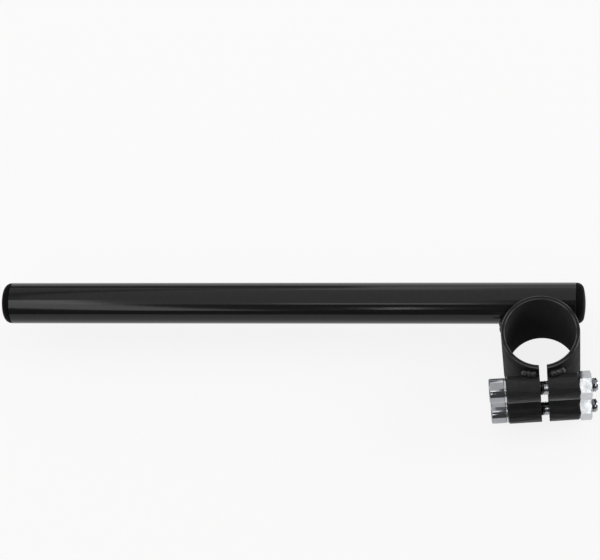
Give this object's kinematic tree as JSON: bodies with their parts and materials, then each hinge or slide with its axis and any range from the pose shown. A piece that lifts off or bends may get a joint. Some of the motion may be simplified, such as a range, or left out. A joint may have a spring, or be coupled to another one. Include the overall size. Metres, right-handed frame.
{
  "type": "clip-on handlebar",
  "caption": "Straight tubular clip-on motorcycle handlebar welded across a split round fork clamp with bolted bosses and plugged bar ends.",
  "frame": {"origin": "middle of the fork clamp's bore, on its axis at half its length", "axes": "+Z along the bore, up the fork leg; +X along the bar to its short end; +Y from the bore to the bar, with the clamp slot on the -Y side"},
  "size_m": [0.3233, 0.074, 0.052],
  "materials": {
    "black_paint": "gloss black paint over welded steel",
    "plated_fasteners": "bright zinc plate",
    "cap_plastic": "matt moulded black"
  },
  "bodies": {
    "root": {"bar_weld_lower": "black_paint", "bar_weld_upper": "black_paint", "bolt_washer_lower": "plated_fasteners", "bolt_washer_upper": "plated_fasteners", "boss_lower_head_side": "black_paint", "boss_lower_nut_side": "black_paint", "boss_upper_head_side": "black_paint", "boss_upper_nut_side": "black_paint", "boss_weld_lower_head_side_bottom": "black_paint", "boss_weld_lower_head_side_top": "black_paint", "boss_weld_lower_nut_side_bottom": "black_paint", "boss_weld_lower_nut_side_top": "black_paint", "boss_weld_upper_head_side_bottom": "black_paint", "boss_weld_upper_head_side_top": "black_paint", "boss_weld_upper_nut_side_bottom": "black_paint", "boss_weld_upper_nut_side_top": "black_paint", "clamp_bolt_lower": "plated_fasteners", "clamp_bolt_upper": "plated_fasteners", "clamp_nut_lower": "plated_fasteners", "clamp_nut_upper": "plated_fasteners", "clamp_ring": "black_paint", "end_cap_inner": "cap_plastic", "end_cap_outer": "cap_plastic", "handlebar_tube": "black_paint"}
  },
  "joints": []
}
